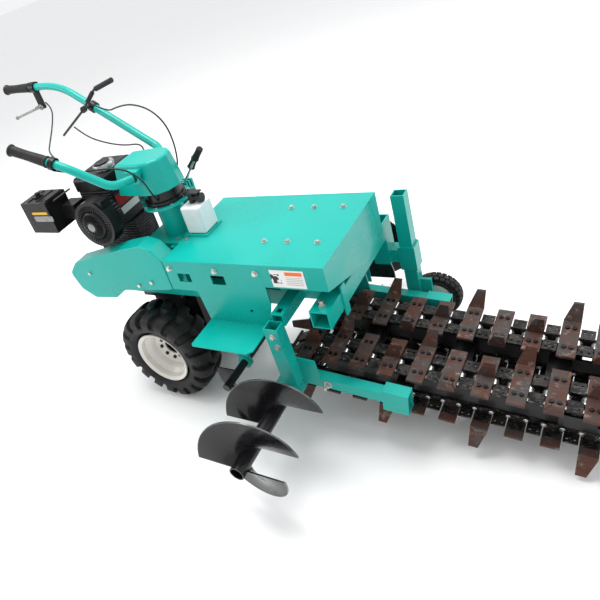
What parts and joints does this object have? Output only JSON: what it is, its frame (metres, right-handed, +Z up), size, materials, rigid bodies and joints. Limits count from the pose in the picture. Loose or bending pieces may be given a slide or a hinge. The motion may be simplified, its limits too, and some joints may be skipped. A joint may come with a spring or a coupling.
{
  "type": "trencher",
  "caption": "Walk-behind trencher with a digging chain boom, drive wheels, a small engine, a swivelling handlebar, side augers and a folding gauge wheel.",
  "frame": {"origin": "middle of the bounding box at ground level, under the wheels", "axes": "+X forwards towards the digging boom, +Y to the side away from the gear gate, +Z up"},
  "size_m": [2.3744, 1.28, 1.2533],
  "materials": {
    "teal_paint": "gloss",
    "black_paint": "gloss",
    "engine_casting": "rough",
    "shroud_plastic": "matte",
    "worn_steel": "worn",
    "chain_steel": "satin",
    "zinc_plate": "satin",
    "tyre_rubber": "matte",
    "cream_paint": "satin",
    "soft_rubber": "matte",
    "bright_alloy": "satin",
    "white_plastic": "gloss",
    "black_gloss": "gloss",
    "bright_steel": "polished",
    "muffler_steel": "satin"
  },
  "bodies": {
    "chassis": {"frame_rails": "teal_paint", "gearbox": "black_paint", "cross_tube_rear": "teal_paint", "front_tube": "teal_paint", "hood_sheet": "teal_paint", "side_plate_near": "teal_paint", "side_plate_far": "teal_paint", "frame_bolts": "zinc_plate", "name_plates": "bright_alloy", "belt_cover": "teal_paint", "swivel_post": "teal_paint", "gear_gate": "teal_paint", "post_near": "teal_paint", "post_far": "teal_paint", "rear_hangers": "teal_paint", "engine": "engine_casting", "engine_shroud": "shroud_plastic", "recoil_starter": "shroud_plastic", "air_box": "shroud_plastic", "tank": "shroud_plastic", "muffler": "muffler_steel", "white_box": "white_plastic", "box_fittings": "black_gloss", "gauge_carrier": "teal_paint"},
    "wheelset": {"wheel_hubs": "zinc_plate", "rim_near": "cream_paint", "rim_far": "cream_paint", "tyre_near": "tyre_rubber", "tyre_far": "tyre_rubber"},
    "handlebar": {"swivel_housing": "black_paint", "head_cap": "teal_paint", "arm_near": "teal_paint", "off_side_bar": "teal_paint", "grip_near": "soft_rubber", "grip_far": "soft_rubber", "lever_mounts": "shroud_plastic", "cables": "soft_rubber"},
    "clutch_lever": {"squeeze_lever": "bright_alloy"},
    "rocker": {"drive_lever": "black_paint", "drive_lever_grip": "soft_rubber"},
    "long_shift": {"long_gear_lever": "bright_steel"},
    "short_shift": {"short_gear_lever": "bright_steel"},
    "boom": {"boom_frame": "black_paint", "chain_near": "chain_steel", "chain_far": "chain_steel", "chain_cutters_near": "worn_steel", "chain_cutters_far": "worn_steel", "boom_bolts": "zinc_plate", "sprockets": "chain_steel", "boom_side_near": "teal_paint", "boom_side_far": "teal_paint"},
    "front_augers": {"auger_shaft": "black_paint", "auger_blades_near": "black_paint", "auger_blades_far": "black_paint"},
    "back_auger": {"rear_auger": "black_paint"},
    "gauge_post_body": {"gauge_leg": "teal_paint"},
    "gauge_wheel": {"gauge_rim": "cream_paint", "gauge_tyre": "tyre_rubber"}
  },
  "joints": [
    {"name": "wheel_spin", "type": "hinge", "parent": "chassis", "child": "wheelset", "pos_m": [-0.34691, 0, 0.205], "axis": [0, 1, 0], "continuous": true},
    {"name": "handlebar_swivel", "type": "hinge", "parent": "chassis", "child": "handlebar", "pos_m": [-0.23191, 0, 0.79], "axis": [0, 0, 1], "range_deg": [-20, 20]},
    {"name": "clutch_squeeze", "type": "hinge", "parent": "handlebar", "child": "clutch_lever", "pos_m": [-0.97316, 0.25081, 1.1288], "axis": [0, 1, 0], "range_deg": [0, 18], "stiffness_Nm_per_rad": 3, "springref_deg": -5.73},
    {"name": "rocker_turn", "type": "hinge", "parent": "handlebar", "child": "rocker", "pos_m": [-0.62691, 0.15586, 1.11112], "axis": [0, 1, 0], "range_deg": [-15, 15]},
    {"name": "long_shift_turn", "type": "hinge", "parent": "chassis", "child": "long_shift", "pos_m": [-0.22791, 0.1055, 0.786], "axis": [0, 1, 0], "range_deg": [-12, 12]},
    {"name": "short_shift_turn", "type": "hinge", "parent": "chassis", "child": "short_shift", "pos_m": [-0.22791, 0.1225, 0.786], "axis": [0, 1, 0], "range_deg": [-12, 12]},
    {"name": "boom_lift", "type": "hinge", "parent": "chassis", "child": "boom", "pos_m": [0.23929, 0, 0.2194], "axis": [0, 1, 0], "range_deg": [-28, 40]},
    {"name": "auger_spin", "type": "hinge", "parent": "chassis", "child": "front_augers", "pos_m": [0.23929, 0, 0.2194], "axis": [0, 1, 0], "continuous": true},
    {"name": "rear_auger_spin", "type": "hinge", "parent": "chassis", "child": "back_auger", "pos_m": [0.03309, 0, 0.232], "axis": [0, 1, 0], "continuous": true},
    {"name": "gauge_slide", "type": "slide", "parent": "chassis", "child": "gauge_post_body", "axis": [0, 0, 1], "range_m": [-0.14, 0.05]},
    {"name": "gauge_wheel_spin", "type": "hinge", "parent": "gauge_post_body", "child": "gauge_wheel", "pos_m": [0.53609, 0.345, 0.1644], "axis": [0, 1, 0], "continuous": true}
  ]
}
